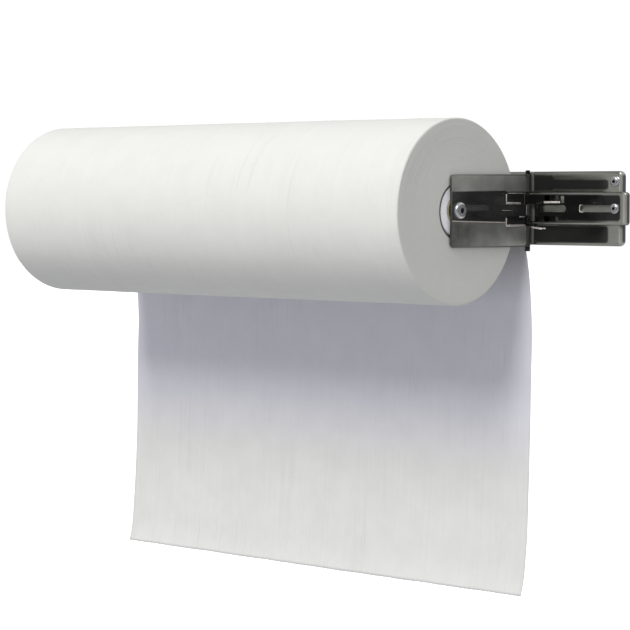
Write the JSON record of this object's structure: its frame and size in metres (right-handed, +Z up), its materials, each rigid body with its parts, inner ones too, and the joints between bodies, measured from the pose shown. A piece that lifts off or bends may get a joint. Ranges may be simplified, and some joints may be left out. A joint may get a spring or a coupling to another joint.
{
  "type": "paper towel holder",
  "caption": "Wall-held holder for a wide paper roll: pressed rail, two sliding carriages, two swinging arms with hubs, the roll, and paper hanging behind it.",
  "frame": {"origin": "middle of the rail's back, on the wall plane", "axes": "+X along the rail and the roll, towards the right-hand arm seen from the room; +Y into the wall; +Z up"},
  "size_m": [0.714, 0.183, 0.4177],
  "materials": {
    "rail_metal": "polished dark nickel",
    "arm_metal": "satin grey-green steel",
    "strip_metal": "polished dark nickel",
    "bright_zinc": "bright zinc plate",
    "dark_steel": "blackened steel",
    "yellow_zinc": "yellow passivated zinc",
    "brass": "turned brass",
    "white_plastic": "moulded white plastic",
    "card": "wound grey card",
    "tissue_roll": "wound white tissue",
    "tissue_sheet": "soft white tissue",
    "grey_zinc": "dull grey zinc plate"
  },
  "bodies": {
    "rail": {"wall_rail": "rail_metal", "end_screw_right": "bright_zinc", "end_screw_left": "bright_zinc", "clamp_screw_right": "bright_zinc", "clamp_screw_left": "bright_zinc", "clamp_nut_right": "dark_steel", "clamp_nut_left": "dark_steel", "hanging_sheet": "tissue_sheet", "clamp_plate_right": "grey_zinc", "clamp_plate_left": "grey_zinc"},
    "right_carriage": {"carriage_right": "rail_metal", "hinge_pin_right": "dark_steel", "hinge_pin_cap_right": "dark_steel", "hinge_spring_right": "dark_steel", "slot_leaf_right": "grey_zinc"},
    "left_carriage": {"carriage_left": "rail_metal", "hinge_pin_left": "dark_steel", "hinge_pin_cap_left": "dark_steel", "hinge_spring_left": "dark_steel", "slot_leaf_left": "grey_zinc"},
    "right_arm": {"arm_plate_right": "arm_metal", "arm_strip_right": "strip_metal", "axle_screw_right": "bright_zinc", "face_washer_right": "yellow_zinc", "nut_washer_right": "yellow_zinc", "lock_nut_right": "bright_zinc", "arm_backing_right": "strip_metal"},
    "left_arm": {"arm_plate_left": "arm_metal", "arm_strip_left": "strip_metal", "axle_screw_left": "bright_zinc", "face_washer_left": "yellow_zinc", "nut_washer_left": "yellow_zinc", "lock_nut_left": "bright_zinc", "arm_backing_left": "strip_metal"},
    "right_hub": {"hub_right": "white_plastic", "hub_bush_right": "brass"},
    "left_hub": {"hub_left": "white_plastic", "hub_bush_left": "brass"},
    "roll": {"roll_core": "card", "paper_roll": "tissue_roll"}
  },
  "joints": [
    {"name": "right_carriage_slide", "type": "slide", "parent": "rail", "child": "right_carriage", "axis": [1, 0, 0], "range_m": [0, 0.035]},
    {"name": "left_carriage_slide", "type": "slide", "parent": "rail", "child": "left_carriage", "axis": [-1, 0, 0], "range_m": [0, 0.035]},
    {"name": "right_arm_swing", "type": "hinge", "parent": "right_carriage", "child": "right_arm", "pos_m": [0.2515, -0.0082, 0], "axis": [0, 0, 1], "range_deg": [0, 75], "stiffness_Nm_per_rad": 0.3, "springref_deg": -28.65},
    {"name": "left_arm_swing", "type": "hinge", "parent": "left_carriage", "child": "left_arm", "pos_m": [-0.2515, -0.0082, 0], "axis": [0, 0, -1], "range_deg": [0, 75], "stiffness_Nm_per_rad": 0.3, "springref_deg": -28.65},
    {"name": "right_hub_spin", "type": "hinge", "parent": "right_arm", "child": "right_hub", "pos_m": [0.235, -0.105, -0.0015], "axis": [1, 0, 0], "continuous": true},
    {"name": "left_hub_spin", "type": "hinge", "parent": "left_arm", "child": "left_hub", "pos_m": [-0.235, -0.105, -0.0015], "axis": [1, 0, 0], "continuous": true},
    {"name": "roll_spin", "type": "hinge", "parent": "rail", "child": "roll", "pos_m": [0, -0.103, -0.0025], "axis": [1, 0, 0], "continuous": true}
  ],
  "couplings": [
    {"joint": "right_hub_spin", "follows": "roll_spin", "ratio": 1.13},
    {"joint": "left_hub_spin", "follows": "roll_spin", "ratio": 1.13}
  ]
}
